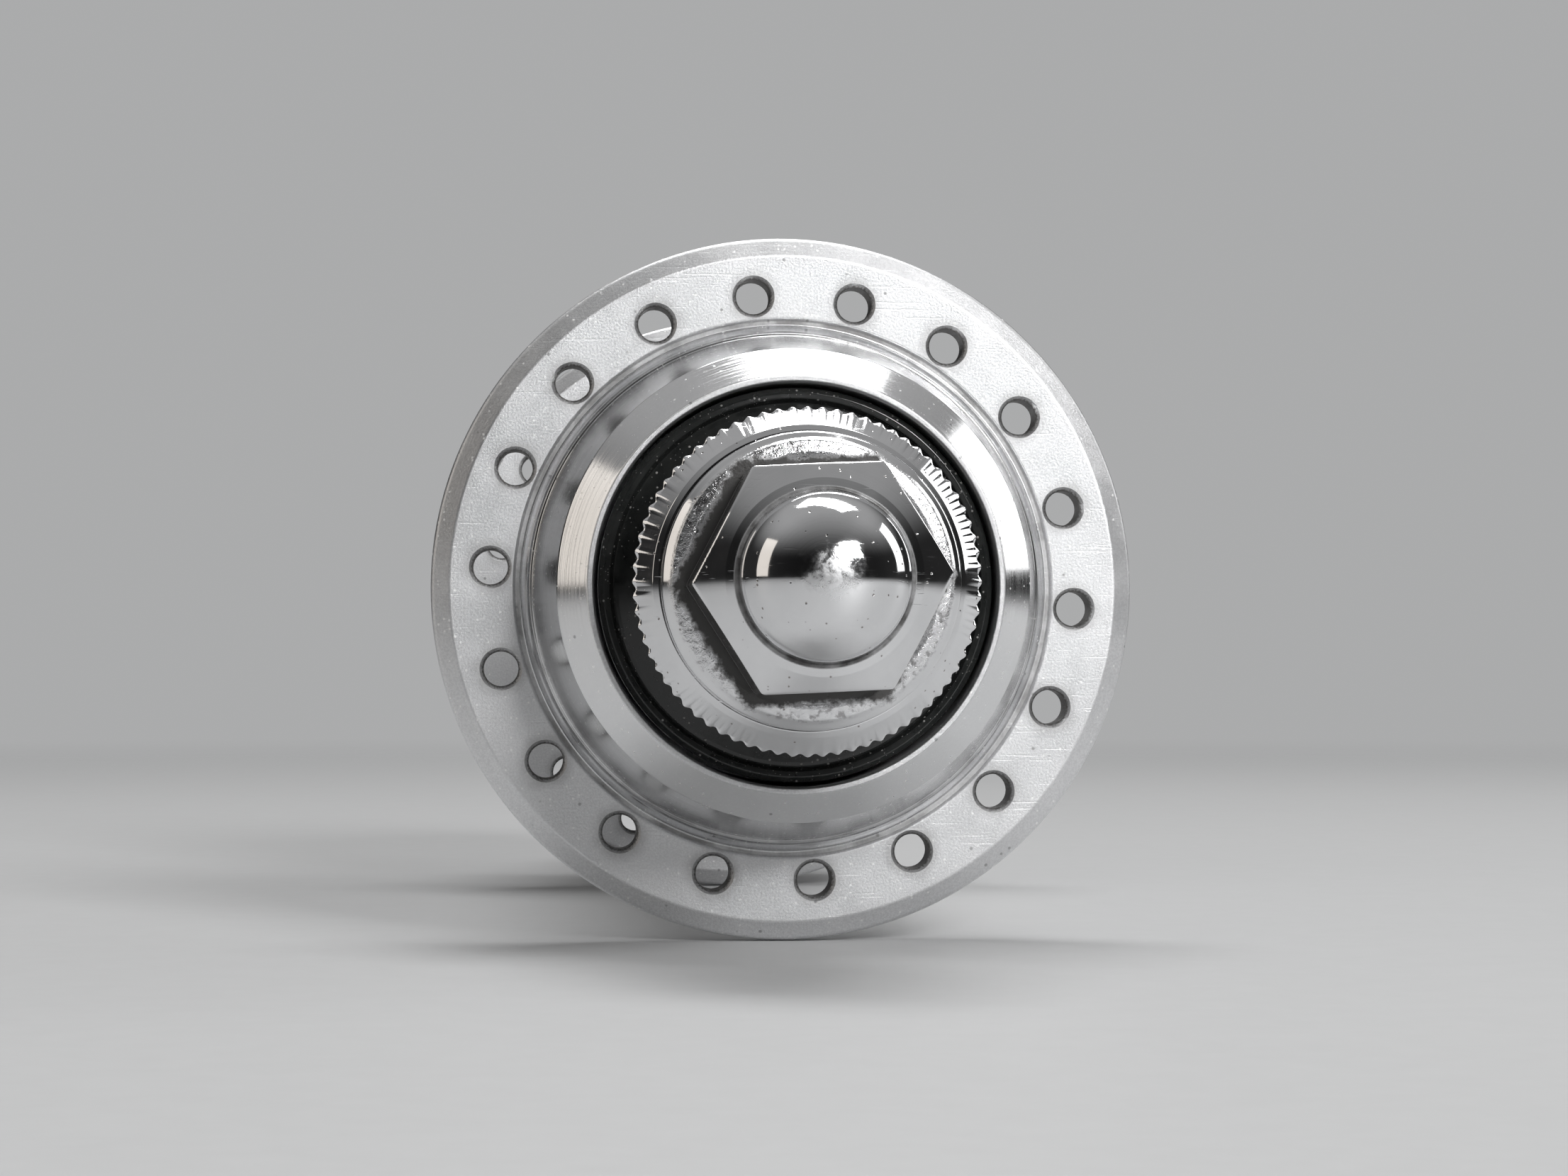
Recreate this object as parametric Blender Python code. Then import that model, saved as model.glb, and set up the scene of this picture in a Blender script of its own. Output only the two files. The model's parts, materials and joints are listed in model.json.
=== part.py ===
"""Rear bicycle hub, small flange, 36 spoke holes, cup-and-cone bearings, flanged cap nuts.

The axle lies along Y with the hub's centre at the origin and +Z up. Lengths are in millimetres
until metres() turns them into metres. A station is a distance along the axle from the
centre, counted outwards, so one outline serves both ends: side is -1 for the near end at -Y and
+1 for the far end at +Y. Outlines of turned pieces are lists of (station, radius).
"""
import math

import bmesh
import bpy

NEAR = -1
FAR = 1
SIDES = {"near": NEAR, "far": FAR}
GAP = 0.3                    # clearance kept between pieces that touch

# Width of the hub
LOCKNUT_FACE = 55.0          # half the width over the locknuts
AXLE_HALF_LENGTH = 69.6

# Spokes
SPOKE_HOLES = 18             # on each flange
SPOKE_CIRCLE_RADIUS = 22.0
SPOKE_HOLE_RADIUS = 1.3
HOLE_PITCH = math.radians(360.0 / SPOKE_HOLES)
NEAR_HOLE_ANGLE = math.radians(16.0)
FAR_HOLE_ANGLE = NEAR_HOLE_ANGLE - HOLE_PITCH / 2

# Shell
FLANGE_RADIUS = 26.4
FLANGE_FACE_RADIUS = 25.1
FLANGE_THICKNESS = 3.0
FLANGE_EDGE = 0.8            # depth of the chamfer on each side
FLANGE_BACK_RADIUS = 20.0    # where the barrel's flare meets the flange
NEAR_FLANGE_FACE = 35.5
FAR_FLANGE_FACE = 30.0
BARREL_RADIUS = 12.6
BARREL_BORE = 8.2
RIM_STATION = 47.4           # end faces of the shell
BORE_RADIUS = 14.5           # mouth and cup seat
CUP_SEAT = 36.0
BOSS_FILLET_RADIUS = 20.2
BOSS_FOOT_RADIUS = 18.9
BOSS_HEAD_RADIUS = 17.0
BOSS_RIM_RADIUS = 15.0
BOSS_CONE_DEPTH = 2.1        # of the broad cone at the near rim
SPROCKET_THREAD_RADIUS = 17.4    # 1.37 inch
LOCKRING_THREAD_RADIUS = 16.4    # 1.29 inch
SPROCKET_SHOULDER = 33.0
SPROCKET_SHOULDER_RADIUS = 19.6
SPROCKET_THREAD_END = 41.0
RIM_CHAMFER = 0.5            # on the far rim

# Bearings
BALLS = 9
BALL_RADIUS = 3.175          # quarter inch
BALL_STATION = 40.6
BALL_CIRCLE_RADIUS = 10.5
RACE_RADIUS = BALL_RADIUS + GAP
RACE_STEPS = 5
CUP_THROAT = 7.4
AXLE_RADIUS = 5.0
THREAD_BORE = AXLE_RADIUS + GAP
CONE_RADIUS = 8.4
CONE_SPANNER = 15.0
CONE_END = 48.3
CONE_NOSE = 1.4              # length of the cone past its race
DUST_CAP_STATION = 44.3
DUST_CAP_SHEET = 1.1
DUST_CAP_HOLE = 9.6
SEAL_STATION = 45.8
SEAL_FACE = 46.7

# Keyed washer, spacer and locknut
KEY_WIDTH = 2.4
KEY_DEPTH = 1.2
KEY_START = 47.5
KEY_WASHER = (48.6, 49.6)
SPACER = (49.9, 51.4)
SPACER_RADIUS = 8.0
EDGE_BREAK = 0.3             # small chamfers
LOCKNUT_START = 51.7
LOCKNUT_SPANNER = 17.0

# Captive washer and cap nut
WASHER_SEAT = LOCKNUT_FACE + GAP
WASHER_RADIUS = 12.1
WASHER_TOP_RADIUS = 10.5
WASHER_EDGE = 56.4
WASHER_TOP = 58.1
WASHER_NECK = 7.8
WASHER_NECK_DEPTH = 1.2
WASHER_RECESS = 8.8
NUT_COLLAR = 7.5
NUT_LIP = 8.4
NUT_FLANGE_RADIUS = 10.2
NUT_FLANGE_TOP = 60.8
NUT_SPANNER = 15.0
HEX_CHAMFER = 67.9
HEX_TOP = 70.0
HEX_TOP_RADIUS = 6.0
HEX_TURN = math.radians(2.5)
NUT_BORE_END = AXLE_HALF_LENGTH + GAP
DOME_RADIUS = 5.6
DOME_GROOVE_RADIUS = 5.2
DOME_FOOT = 70.5
DOME_TOP = 74.8
DOME_STEPS = 4

SHELL_STEPS = 36
RING_STEPS = 30
SMALL_STEPS = 24


def metres(value):
    return value / 1000.0


def arc(centre, radius, start_deg, end_deg, count):
    """Points (station, radius) on a circular arc; 0 degrees points outwards along the axle."""
    points = []
    for index in range(count):
        angle = math.radians(start_deg + (end_deg - start_deg) * index / (count - 1))
        station = centre[0] + radius * math.cos(angle)
        points.append((station, centre[1] + radius * math.sin(angle)))
    return points


def material(name, colour, roughness, metallic):
    """A Principled BSDF material, made once for each name."""
    found = bpy.data.materials.get(name)
    if found:
        return found
    made = bpy.data.materials.new(name)
    made.use_nodes = True
    shader = made.node_tree.nodes["Principled BSDF"]
    shader.inputs["Base Color"].default_value = (*colour, 1.0)
    shader.inputs["Roughness"].default_value = roughness
    shader.inputs["Metallic"].default_value = metallic
    return made


def satin_aluminium():
    return material("satin_aluminium", (0.72, 0.73, 0.73), 0.35, 1.0)


def chrome():
    return material("chrome_plate", (0.78, 0.78, 0.78), 0.12, 1.0)


def hard_steel():
    return material("hardened_steel", (0.55, 0.55, 0.56), 0.2, 1.0)


def plain_steel():
    return material("plain_steel", (0.5, 0.5, 0.5), 0.4, 1.0)


def black_seal():
    return material("black_seal", (0.02, 0.02, 0.02), 0.2, 0.0)


def add_object(name, mesh_builder, finish, sharp_deg=25.0):
    """Turn a bmesh into a smooth shaded object with its own material."""
    bmesh.ops.recalc_face_normals(mesh_builder, faces=mesh_builder.faces)
    mesh = bpy.data.meshes.new(name)
    mesh_builder.to_mesh(mesh)
    mesh_builder.free()
    mesh.shade_smooth()
    mesh.set_sharp_from_angle(angle=math.radians(sharp_deg))
    piece = bpy.data.objects.new(name, mesh)
    bpy.context.scene.collection.objects.link(piece)
    piece.data.materials.append(finish)
    return piece


def spun(outline, steps, closed=True):
    """Spin an outline of (place on Y, radius) about the axle; an open one starts and ends at it."""
    build = bmesh.new()
    verts = [build.verts.new((metres(radius), metres(place), 0.0)) for place, radius in outline]
    pairs = list(zip(verts, verts[1:]))
    if closed:
        pairs.append((verts[-1], verts[0]))
    edges = [build.edges.new(pair) for pair in pairs]
    bmesh.ops.spin(build, geom=verts + edges, cent=(0, 0, 0), axis=(0, 1, 0),
                   angle=math.tau, steps=steps, use_merge=True)
    bmesh.ops.remove_doubles(build, verts=build.verts, dist=1e-7)
    return build


def turned(name, outline, side, finish, steps=RING_STEPS, closed=True):
    """A turned piece from an outline of (station, radius)."""
    placed = [(side * station, radius) for station, radius in outline]
    return add_object(name, spun(placed, steps, closed), finish)


def prism(corners, start, end):
    """A prism along the axle from corners (x, z) in millimetres, between two places on Y."""
    build = bmesh.new()
    base = [build.verts.new((metres(x), metres(start), metres(z))) for x, z in corners]
    face = build.faces.new(base)
    moved = bmesh.ops.extrude_face_region(build, geom=[face])
    top = [item for item in moved["geom"] if isinstance(item, bmesh.types.BMVert)]
    bmesh.ops.translate(build, verts=top, vec=(0.0, metres(end - start), 0.0))
    bmesh.ops.recalc_face_normals(build, faces=build.faces)
    return build


def regular_corners(count, radius, turn=0.0):
    angles = [turn + math.tau * index / count for index in range(count)]
    return [(radius * math.cos(angle), radius * math.sin(angle)) for angle in angles]


def tool(name, mesh_builder):
    """A cutter or joining body, kept out of the model."""
    piece = add_object(name, mesh_builder, plain_steel())
    piece.hide_render = True
    piece.display_type = "WIRE"
    return piece


def combine(piece, other, operation):
    change = piece.modifiers.new(operation.lower(), "BOOLEAN")
    change.operation = operation
    change.solver = "EXACT"
    change.object = other


def joined(builders):
    """Several closed bodies in one bmesh."""
    result = bmesh.new()
    for build in builders:
        part = bpy.data.meshes.new("part")
        build.to_mesh(part)
        build.free()
        result.from_mesh(part)
        bpy.data.meshes.remove(part)
    return result


def flange_outline(face):
    """The barrel's flare and the flange, up to the flange's outer face."""
    back = face - FLANGE_THICKNESS
    return [
        (back - 11.0, BARREL_RADIUS),
        (back - 6.0, BARREL_RADIUS + 1.4),
        (back - 2.0, BARREL_RADIUS + 4.4),
        (back, FLANGE_BACK_RADIUS),
        (back, FLANGE_FACE_RADIUS),
        (back + FLANGE_EDGE, FLANGE_RADIUS),
        (face - FLANGE_EDGE, FLANGE_RADIUS),
        (face, FLANGE_FACE_RADIUS),
    ]


def near_boss():
    """Near half of the shell, from the barrel over the flange to the rim."""
    return flange_outline(NEAR_FLANGE_FACE) + [
        (NEAR_FLANGE_FACE, BOSS_FILLET_RADIUS),
        (NEAR_FLANGE_FACE + 1.0, BOSS_FOOT_RADIUS),
        (RIM_STATION - BOSS_CONE_DEPTH, BOSS_HEAD_RADIUS),
        (RIM_STATION, BOSS_RIM_RADIUS),
        (RIM_STATION, BORE_RADIUS),
    ]


def far_boss():
    """Far half of the shell, with the sprocket shoulder and the two threaded lands."""
    return flange_outline(FAR_FLANGE_FACE) + [
        (FAR_FLANGE_FACE, BOSS_FILLET_RADIUS),
        (FAR_FLANGE_FACE + 0.6, SPROCKET_SHOULDER_RADIUS),
        (SPROCKET_SHOULDER, SPROCKET_SHOULDER_RADIUS),
        (SPROCKET_SHOULDER, SPROCKET_THREAD_RADIUS),
        (SPROCKET_THREAD_END, SPROCKET_THREAD_RADIUS),
        (SPROCKET_THREAD_END, LOCKRING_THREAD_RADIUS),
        (RIM_STATION - RIM_CHAMFER, LOCKRING_THREAD_RADIUS),
        (RIM_STATION, LOCKRING_THREAD_RADIUS - RIM_CHAMFER),
        (RIM_STATION, BORE_RADIUS),
    ]


def spoke_hole_tool():
    """All the spoke drills of both flanges, in one cutter."""
    drills = []
    for side, face, first in ((NEAR, NEAR_FLANGE_FACE, NEAR_HOLE_ANGLE),
                              (FAR, FAR_FLANGE_FACE, FAR_HOLE_ANGLE)):
        for index in range(SPOKE_HOLES):
            angle = first + HOLE_PITCH * index
            centre = (SPOKE_CIRCLE_RADIUS * math.cos(angle), SPOKE_CIRCLE_RADIUS * math.sin(angle))
            corners = [(centre[0] + x, centre[1] + z)
                       for x, z in regular_corners(12, SPOKE_HOLE_RADIUS, angle)]
            start = side * (face - FLANGE_THICKNESS - 1.0)
            drills.append(prism(corners, start, side * (face + 1.0)))
    return tool("spoke_drills", joined(drills))


def hub_shell():
    inside = [
        (CUP_SEAT, BORE_RADIUS),
        (CUP_SEAT, BARREL_BORE),
    ]
    near_half = near_boss() + inside
    far_half = far_boss() + inside
    outline = [(NEAR * station, radius) for station, radius in reversed(near_half)]
    outline += [(FAR * station, radius) for station, radius in far_half]
    shell = add_object("hub_shell", spun(outline, SHELL_STEPS), satin_aluminium())
    combine(shell, spoke_hole_tool(), "DIFFERENCE")


def bearing_cup(name, side):
    """Pressed cup; its race faces the axle and the outer end."""
    outer = BORE_RADIUS - GAP
    seat = CUP_SEAT + GAP
    end = DUST_CAP_STATION - GAP
    race = arc((BALL_STATION, BALL_CIRCLE_RADIUS), RACE_RADIUS, 180.0, 72.0, RACE_STEPS)
    outline = [(seat, outer), (seat, CUP_THROAT), (race[0][0], CUP_THROAT)] + race
    outline += [(end, race[-1][1]), (end, outer)]
    turned(name, outline, side, hard_steel())


def bearing_cone(name, side):
    """Screwed cone; its race faces away from the axle and towards the middle."""
    race = arc((BALL_STATION, BALL_CIRCLE_RADIUS), RACE_RADIUS, -108.0, -37.0, RACE_STEPS)
    nose = race[0][0] - CONE_NOSE
    outline = [(nose, THREAD_BORE), (nose, race[0][1])] + race
    outline += [(CONE_END - EDGE_BREAK, CONE_RADIUS), (CONE_END, CONE_RADIUS - EDGE_BREAK),
                (CONE_END, THREAD_BORE)]
    cone = turned(name, outline, side, hard_steel())
    flats = []
    half = CONE_SPANNER / 2
    reach = 2 * CONE_RADIUS
    for low, high in ((-reach, -half), (half, reach)):
        corners = [(-reach, low), (reach, low), (reach, high), (-reach, high)]
        flats.append(prism(corners, side * (SEAL_FACE + 0.2), side * (CONE_END + 1.0)))
    combine(cone, tool(name + "_flats", joined(flats)), "DIFFERENCE")


def bearing_balls(end, side):
    """One ring of loose balls, evenly spaced."""
    for index in range(BALLS):
        build = bmesh.new()
        bmesh.ops.create_icosphere(build, subdivisions=2, radius=metres(BALL_RADIUS))
        ball = add_object("%s_ball_%d" % (end, index + 1), build, hard_steel(), sharp_deg=60.0)
        angle = math.tau * index / BALLS
        ball.location = (metres(BALL_CIRCLE_RADIUS * math.cos(angle)),
                         metres(side * BALL_STATION),
                         metres(BALL_CIRCLE_RADIUS * math.sin(angle)))
        ball.rotation_euler = (0.0, -angle, 0.0)


def dust_cap(name, side):
    """Thin ring with a turned lip, pressed into the shell outside the balls."""
    outer = BORE_RADIUS - GAP
    start = DUST_CAP_STATION
    step = start + DUST_CAP_SHEET / 2
    end = start + DUST_CAP_SHEET
    outline = [(start, outer), (start, outer - DUST_CAP_SHEET), (step, outer - DUST_CAP_SHEET),
               (step, DUST_CAP_HOLE), (end, DUST_CAP_HOLE), (end, outer)]
    turned(name, outline, side, plain_steel())


def dust_seal(name, side):
    """Glossy black ring on the cone, a little inside the shell's mouth."""
    outer = BORE_RADIUS - GAP
    hole = CONE_RADIUS + GAP
    outline = [(SEAL_STATION, outer), (SEAL_STATION, hole), (SEAL_FACE, hole),
               (SEAL_FACE, outer - EDGE_BREAK), (SEAL_FACE - EDGE_BREAK, outer)]
    turned(name, outline, side, black_seal())


def axle():
    """Solid axle with a keyway along each end, opening upwards."""
    half = AXLE_HALF_LENGTH
    outline = [(-half, 0.0), (-half, AXLE_RADIUS - 0.8), (-half + 0.8, AXLE_RADIUS),
               (half - 0.8, AXLE_RADIUS), (half, AXLE_RADIUS - 0.8), (half, 0.0)]
    shaft = turned("axle", outline, FAR, plain_steel(), steps=SMALL_STEPS, closed=False)
    slots = []
    floor = AXLE_RADIUS - KEY_DEPTH
    for side in SIDES.values():
        above = 2 * AXLE_RADIUS
        corners = [(-KEY_WIDTH / 2, floor), (KEY_WIDTH / 2, floor), (KEY_WIDTH / 2, above),
                   (-KEY_WIDTH / 2, above)]
        slots.append(prism(corners, side * KEY_START, side * (half + 2.0)))
    combine(shaft, tool("keyway_cutter", joined(slots)), "DIFFERENCE")


def key_washer(name, side):
    """Plain washer with a tab that reaches into the axle's keyway."""
    start, end = KEY_WASHER
    outline = [(start, THREAD_BORE), (end, THREAD_BORE), (end, CONE_RADIUS), (start, CONE_RADIUS)]
    ring = turned(name, outline, side, plain_steel(), steps=SMALL_STEPS)
    half = KEY_WIDTH / 2 - GAP
    floor = AXLE_RADIUS - KEY_DEPTH + GAP
    corners = [(-half, floor), (half, floor), (half, THREAD_BORE + 1.0), (-half, THREAD_BORE + 1.0)]
    tab = tool(name + "_tab", prism(corners, side * start, side * end))
    combine(ring, tab, "UNION")


def spacer(name, side):
    start, end = SPACER
    flat = SPACER_RADIUS - EDGE_BREAK
    outline = [(start, THREAD_BORE), (end, THREAD_BORE), (end, flat), (end - EDGE_BREAK, SPACER_RADIUS),
               (start + EDGE_BREAK, SPACER_RADIUS), (start, flat)]
    turned(name, outline, side, plain_steel(), steps=SMALL_STEPS)


def hexagon_cutter(name, spanner, start, end, turn):
    """A thick ring with a hexagonal hole, spanner wide, between two places on Y."""
    build = bmesh.new()
    rings = []
    for place in (start, end):
        for radius in (spanner / math.sqrt(3.0), 2 * spanner):
            corners = regular_corners(6, radius, turn)
            rings.append([build.verts.new((metres(x), metres(place), metres(z))) for x, z in corners])
    start_hole, start_rim, end_hole, end_rim = rings
    for first, second in ((start_hole, start_rim), (start_rim, end_rim), (end_rim, end_hole),
                          (end_hole, start_hole)):
        for index in range(6):
            following = (index + 1) % 6
            build.faces.new((first[index], first[following], second[following], second[index]))
    return tool(name, build)


def locknut(name, side):
    """Thin hexagon nut, chamfered on both faces; its outer face clamps on the frame end."""
    corner = LOCKNUT_SPANNER / math.sqrt(3.0) - 0.2
    start = LOCKNUT_START
    end = LOCKNUT_FACE
    face = corner - 1.4
    outline = [(start, THREAD_BORE), (start, face), (start + 0.8, corner), (end - 0.8, corner),
               (end, face), (end, THREAD_BORE)]
    nut = turned(name, outline, side, plain_steel(), steps=SMALL_STEPS)
    flats = hexagon_cutter(name + "_flats", LOCKNUT_SPANNER, side * (start - 1.0),
                           side * (end + 1.0), 0.0)
    combine(nut, flats, "DIFFERENCE")


def captive_washer(name, side):
    """Toothed washer that turns freely on the nut's collar; its top is a polished cone."""
    neck = WASHER_TOP - WASHER_NECK_DEPTH
    outline = [(WASHER_SEAT, WASHER_RECESS), (WASHER_SEAT, WASHER_RADIUS - EDGE_BREAK),
               (WASHER_SEAT + EDGE_BREAK, WASHER_RADIUS), (WASHER_EDGE, WASHER_RADIUS),
               (WASHER_TOP, WASHER_TOP_RADIUS), (WASHER_TOP, WASHER_NECK), (neck, WASHER_NECK),
               (neck, WASHER_RECESS)]
    turned(name, outline, side, chrome())


def cap_nut(name, side):
    """Flanged hexagon nut with a swaged collar below and a closed dome on top."""
    corner = NUT_SPANNER / math.sqrt(3.0)
    lip_top = WASHER_TOP - WASHER_NECK_DEPTH - GAP
    flange_foot = WASHER_TOP + GAP
    foot = WASHER_SEAT + GAP
    bore = [(NUT_BORE_END, 0.0), (NUT_BORE_END, THREAD_BORE), (foot, THREAD_BORE)]
    flange = [(foot, NUT_LIP), (lip_top, NUT_LIP), (lip_top, NUT_COLLAR), (flange_foot, NUT_COLLAR),
              (flange_foot, NUT_FLANGE_RADIUS - EDGE_BREAK),
              (flange_foot + EDGE_BREAK, NUT_FLANGE_RADIUS),
              (NUT_FLANGE_TOP - 0.8, NUT_FLANGE_RADIUS),
              (NUT_FLANGE_TOP - 0.3, NUT_FLANGE_RADIUS - 0.5)]
    hexagon = [(NUT_FLANGE_TOP, corner), (HEX_CHAMFER, corner), (HEX_TOP, HEX_TOP_RADIUS)]
    dome = [(HEX_TOP - 0.2, DOME_GROOVE_RADIUS), (DOME_FOOT - 0.2, DOME_GROOVE_RADIUS)]
    rise = DOME_TOP - DOME_FOOT
    for index in range(DOME_STEPS):
        angle = math.radians(90.0 * index / DOME_STEPS)
        dome.append((DOME_FOOT + rise * math.sin(angle), DOME_RADIUS * math.cos(angle)))
    dome.append((DOME_TOP, 0.0))
    nut = turned(name, bore + flange + hexagon + dome, side, chrome(), closed=False)
    flats = hexagon_cutter(name + "_flats", NUT_SPANNER, side * NUT_FLANGE_TOP, side * (DOME_TOP + 1.0),
                           HEX_TURN)
    combine(nut, flats, "DIFFERENCE")


def pivot(name, pieces):
    """An empty on the axle's axis that carries the pieces of one moving body."""
    carrier = bpy.data.objects.new(name, None)
    bpy.context.scene.collection.objects.link(carrier)
    for piece_name in pieces:
        bpy.data.objects[piece_name].parent = carrier


def main():
    for item in list(bpy.data.objects):
        bpy.data.objects.remove(item, do_unlink=True)
    axle()
    hub_shell()
    for end, side in SIDES.items():
        bearing_cup(end + "_bearing_cup", side)
        bearing_balls(end, side)
        bearing_cone(end + "_cone", side)
        dust_cap(end + "_dust_cap", side)
        dust_seal(end + "_dust_seal", side)
        key_washer(end + "_key_washer", side)
        spacer(end + "_spacer", side)
        locknut(end + "_locknut", side)
        captive_washer(end + "_washer", side)
        cap_nut(end + "_cap_nut", side)
        pivot(end + "_balls", ["%s_ball_%d" % (end, index + 1) for index in range(BALLS)])
        pivot(end + "_nut_axis", [end + "_washer", end + "_cap_nut"])
    pivot("shell_axis", ["hub_shell", "near_bearing_cup", "far_bearing_cup", "near_dust_cap",
                         "far_dust_cap"])


main()
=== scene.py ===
"""Looks of the rear bicycle hub: finely turned pieces, worn metal and a plain studio.

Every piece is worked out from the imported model's boxes. A station is a distance in millimetres
along the axle from the hub's centre, counted outwards; side is -1 for the near end at -Y and +1
for the far end at +Y. The shell and the axle reach across the centre, so their stations are signed.
"""
import json
import math

import bmesh
import bpy
import numpy as np
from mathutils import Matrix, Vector


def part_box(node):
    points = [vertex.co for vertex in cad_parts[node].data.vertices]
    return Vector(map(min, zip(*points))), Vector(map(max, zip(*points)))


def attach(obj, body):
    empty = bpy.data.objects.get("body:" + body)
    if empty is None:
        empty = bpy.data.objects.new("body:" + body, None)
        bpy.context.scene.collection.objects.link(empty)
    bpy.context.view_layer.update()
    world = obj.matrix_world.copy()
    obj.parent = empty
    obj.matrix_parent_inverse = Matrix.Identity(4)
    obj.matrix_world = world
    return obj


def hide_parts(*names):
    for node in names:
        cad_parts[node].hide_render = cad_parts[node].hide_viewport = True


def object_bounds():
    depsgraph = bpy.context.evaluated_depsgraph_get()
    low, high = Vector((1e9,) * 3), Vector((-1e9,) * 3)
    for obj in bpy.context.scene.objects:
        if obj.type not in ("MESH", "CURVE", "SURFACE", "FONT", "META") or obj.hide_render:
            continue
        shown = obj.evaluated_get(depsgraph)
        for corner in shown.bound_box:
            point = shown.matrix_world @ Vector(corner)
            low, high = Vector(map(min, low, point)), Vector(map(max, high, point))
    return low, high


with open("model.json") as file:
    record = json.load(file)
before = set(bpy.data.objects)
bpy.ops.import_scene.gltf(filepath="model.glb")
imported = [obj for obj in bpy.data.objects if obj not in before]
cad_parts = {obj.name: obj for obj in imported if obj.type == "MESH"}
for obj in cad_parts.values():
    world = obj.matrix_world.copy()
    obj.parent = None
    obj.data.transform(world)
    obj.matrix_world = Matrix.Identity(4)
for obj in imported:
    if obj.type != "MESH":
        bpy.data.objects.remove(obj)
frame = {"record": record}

MM = 0.001
SIDES = {"near": -1, "far": 1}
cad_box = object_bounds()

RECORD = frame["record"]
BODY_OF = {node: body for body, nodes in RECORD["behaviour"]["bodies"].items() for node in nodes}

# The shell.
SPOKE_HOLES = 18
SPOKE_HOLE_RADIUS = 1.3
SPOKE_CIRCLE = 22.0
HOLE_PITCH = math.tau / SPOKE_HOLES
NEAR_HOLE_ANGLE = math.radians(16.0)
FAR_HOLE_ANGLE = NEAR_HOLE_ANGLE - HOLE_PITCH / 2
FLANGE_THICKNESS = 3.0
FLANGE_FOOT = 20.6
BARREL = 12.6
FLARE = 11.0
NEAR_FACE_FROM_RIM = 11.9
FAR_FACE_FROM_RIM = 17.4
FAR_SHOULDER = 3.0
SPROCKET_SEAT = 8.0
BEARING_BORE = 14.5
BARREL_BORE = 8.2
SHELL_ANGLES = 180

# The axle, the bearings and the nuts.
INCH_THREAD = 25.4 / 24
INCH_THREAD_DEPTH = 0.45
AXLE_THREAD = 1.0
AXLE_THREAD_DEPTH = 0.5
KEYWAY_HALF_WIDTH = 1.2
KEYWAY_FLOOR = 3.8
AXLE_BORE = 5.3
BALLS = 9
BALL_CIRCLE = 10.5
RACE_RADIUS = 3.475
CONE_SPANNER = 15.0
LOCKNUT_SPANNER = 17.0
NUT_SPANNER = 15.0
HEX_TURN = math.radians(2.5)
NUT_UNDERSIDE = 2.8
NUT_DECK = 5.2
HEX_FROM_TIP = 4.8
DOME_HEIGHT = 4.3
DOME_RADIUS = 5.58

# Degrees between two faces past which their edge is left sharp.
SHARP = 32.0

# The camera, in metres from the middle of the near flange's face.
CAMERA_LEFT = 0.0200
CAMERA_AHEAD = 0.2540
CAMERA_BELOW = 0.0053


# ---------------------------------------------------------------- turned shapes

def stations(node):
    """First and last station of a node that lies on one side of the centre, in millimetres."""
    low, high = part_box(node)
    return tuple(sorted((abs(low.y) / MM, abs(high.y) / MM)))


def radius_of(node):
    """Half of the width of a round node, in millimetres."""
    low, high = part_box(node)
    return (high.x - low.x) / 2 / MM


def corner_arc(before, here, after, fillet, step):
    """Points that round one corner of an outline, with a point on each side to hold the flats."""
    before, here, after = (np.array(point[:2], float) for point in (before, here, after))
    to_before, to_after = before - here, after - here
    len_before, len_after = np.linalg.norm(to_before), np.linalg.norm(to_after)
    to_before /= len_before
    to_after /= len_after
    half = math.acos(float(np.clip(to_before @ to_after, -1.0, 1.0))) / 2
    if half > math.radians(89.0):
        return [tuple(here)]
    reach = min(fillet / math.tan(half), 0.42 * len_before, 0.42 * len_after)
    radius = reach * math.tan(half)
    middle = to_before + to_after
    centre = here + middle / np.linalg.norm(middle) * radius / math.sin(half)
    start = here + to_before * reach - centre
    sweep = math.pi - 2 * half
    turn = 1.0 if start[0] * to_after[1] - start[1] * to_after[0] > 0 else -1.0
    count = max(2, math.ceil(sweep / math.radians(step)))
    points = [here + to_before * (reach + 0.25 * min(reach, len_before - reach))]
    for index in range(count + 1):
        angle = turn * sweep * index / count
        spin = np.array([[math.cos(angle), -math.sin(angle)], [math.sin(angle), math.cos(angle)]])
        points.append(centre + spin @ start)
    points.append(here + to_after * (reach + 0.25 * min(reach, len_after - reach)))
    return [tuple(point) for point in points]


def outline(points, closed=True, step=15.0):
    """An outline with rounded corners from points (station, radius[, fillet radius])."""
    result = []
    last = len(points) - 1
    for index, point in enumerate(points):
        if len(point) < 3 or (not closed and index in (0, last)):
            result.append((point[0], point[1]))
        else:
            result += corner_arc(points[index - 1], point, points[(index + 1) % len(points)],
                                 point[2], step)
    return result


def dense(points, spacing, low, high):
    """Split the outline's stretches between two stations into short ones."""
    result = [points[0]]
    for first, second in zip(points, points[1:]):
        length = math.hypot(second[0] - first[0], second[1] - first[1])
        inside = low <= (first[0] + second[0]) / 2 <= high
        count = max(1, math.ceil(length / spacing)) if inside else 1
        for index in range(1, count + 1):
            share = index / count
            result.append((first[0] + (second[0] - first[0]) * share,
                           first[1] + (second[1] - first[1]) * share))
    return result


def finish_mesh(name, build, finish, sharp=SHARP):
    """A smooth object from a bmesh, with sharp edges where faces meet at more than the given angle."""
    bmesh.ops.recalc_face_normals(build, faces=build.faces)
    mesh = bpy.data.meshes.new(name)
    build.to_mesh(mesh)
    build.free()
    mesh.shade_smooth()
    mesh.set_sharp_from_angle(angle=math.radians(sharp))
    mesh.materials.append(finish)
    piece = bpy.data.objects.new(name, mesh)
    bpy.context.scene.collection.objects.link(piece)
    return piece


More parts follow.
